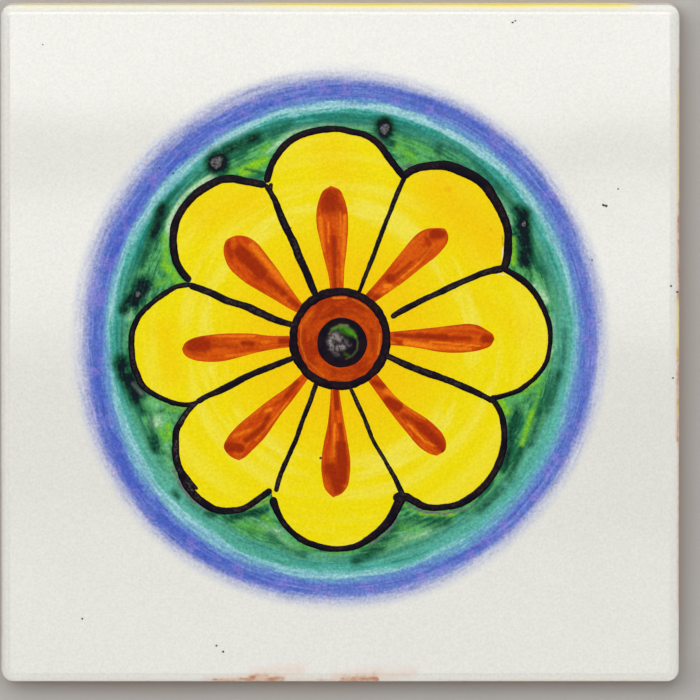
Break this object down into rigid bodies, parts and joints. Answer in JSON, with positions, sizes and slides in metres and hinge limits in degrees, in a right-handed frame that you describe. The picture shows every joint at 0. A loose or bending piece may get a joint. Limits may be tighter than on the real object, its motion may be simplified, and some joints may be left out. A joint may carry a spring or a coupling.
{
  "type": "hand-painted wall tile",
  "caption": "Square glazed earthenware wall tile with a rounded rim, a keyed back and a hand-painted daisy rosette in a banded roundel.",
  "frame": {"origin": "centre of the back, on the surface that the tile lies on", "axes": "+Z out of the glazed face, +Y towards the top edge of the painted motif, +X towards its right edge"},
  "size_m": [0.1, 0.1, 0.008],
  "materials": {
    "glazed_earthenware": "gloss"
  },
  "bodies": {
    "root": {"wall_tile": "glazed_earthenware"}
  },
  "joints": []
}
